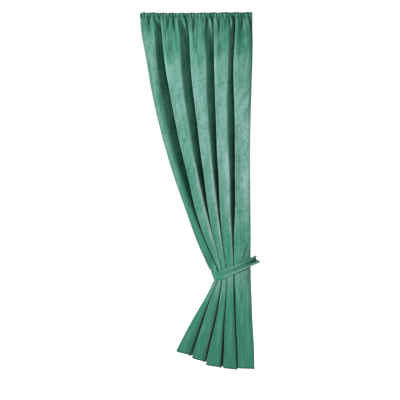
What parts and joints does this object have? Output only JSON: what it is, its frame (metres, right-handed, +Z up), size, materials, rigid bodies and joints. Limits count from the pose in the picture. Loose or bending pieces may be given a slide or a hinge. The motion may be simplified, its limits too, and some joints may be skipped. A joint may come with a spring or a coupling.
{
  "type": "tied-back velvet drape",
  "caption": "Full-length velvet drape with a gathered heading, held in folds at one side by a tieback band and opening again to a stepped hem.",
  "frame": {"origin": "middle of the top edge of the gathered heading", "axes": "+Z up, out of the top edge; +X to the right when the drape is seen from the room; +Y back, towards the window or wall"},
  "size_m": [0.8407, 0.132, 2.496],
  "materials": {
    "drape_velvet": "crushed velvet pile with a soft sheen",
    "tie_velvet": "crushed velvet pile, folded and stitched"
  },
  "bodies": {
    "root": {"drape": "drape_velvet", "tieback": "tie_velvet"}
  },
  "joints": []
}
